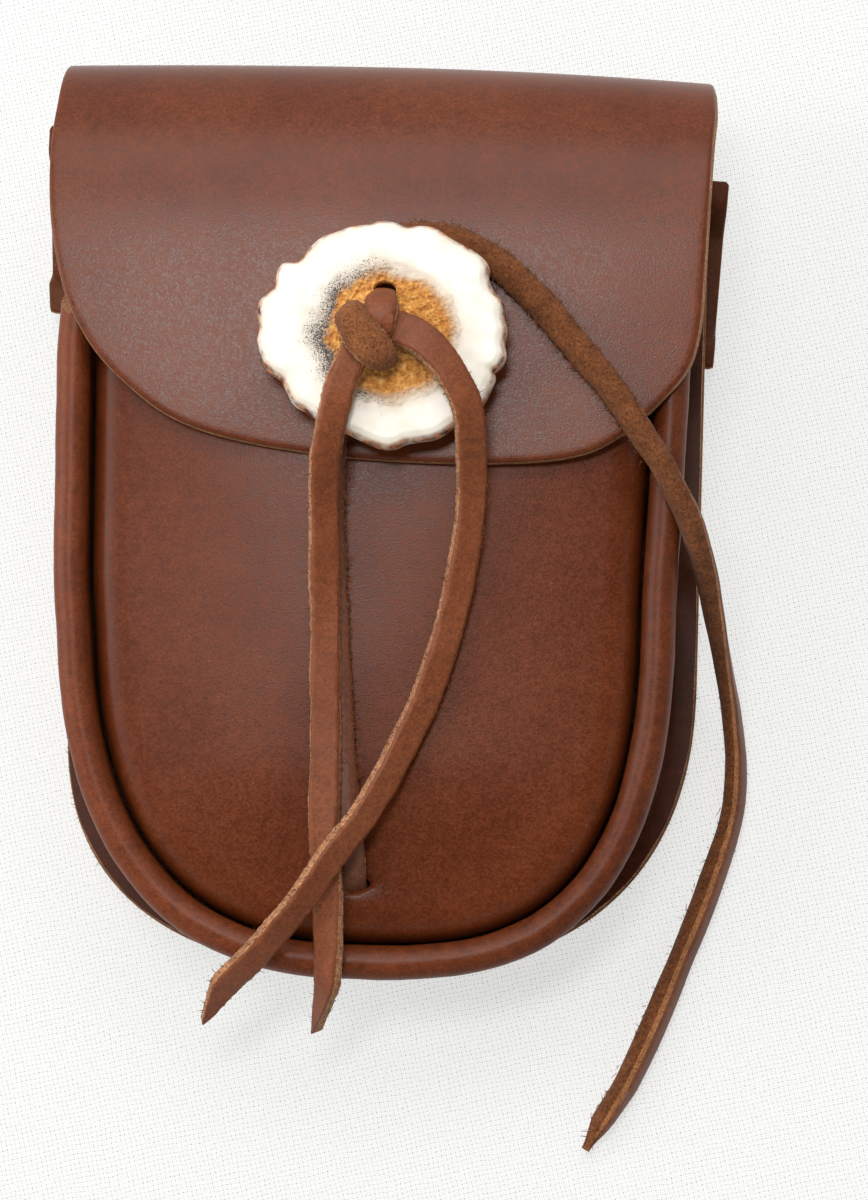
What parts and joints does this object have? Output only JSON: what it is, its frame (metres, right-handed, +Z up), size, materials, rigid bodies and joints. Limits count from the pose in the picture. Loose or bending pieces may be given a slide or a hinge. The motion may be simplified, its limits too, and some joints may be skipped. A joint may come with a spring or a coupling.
{
  "type": "belt bag",
  "caption": "Leather belt bag lying on its back: folded flap closed by an antler button and a leather thong, domed front with rolled rim, and a belt loop across the back.",
  "frame": {"origin": "on the surface that the bag lies on, below the middle of the bag without its free laces", "axes": "+X to the right as the front is looked at, +Y from the round bottom to the fold of the flap, +Z up out of the front"},
  "size_m": [0.1313, 0.1941, 0.0578],
  "materials": {
    "bag_leather": "thick oiled cowhide, reddish brown, satin grain with tan raw edges",
    "lace_leather": "brown lace leather, smooth grain side, tan suede side and edges",
    "antler": null
  },
  "bodies": {
    "root": {"back_and_flap": "bag_leather", "front_panel": "bag_leather", "gusset": "bag_leather", "belt_loop": "bag_leather", "antler_button": "antler", "button_lace": "lace_leather", "lace_tail_left": "lace_leather", "lace_tail_right": "lace_leather", "closing_thong": "lace_leather"}
  },
  "joints": []
}
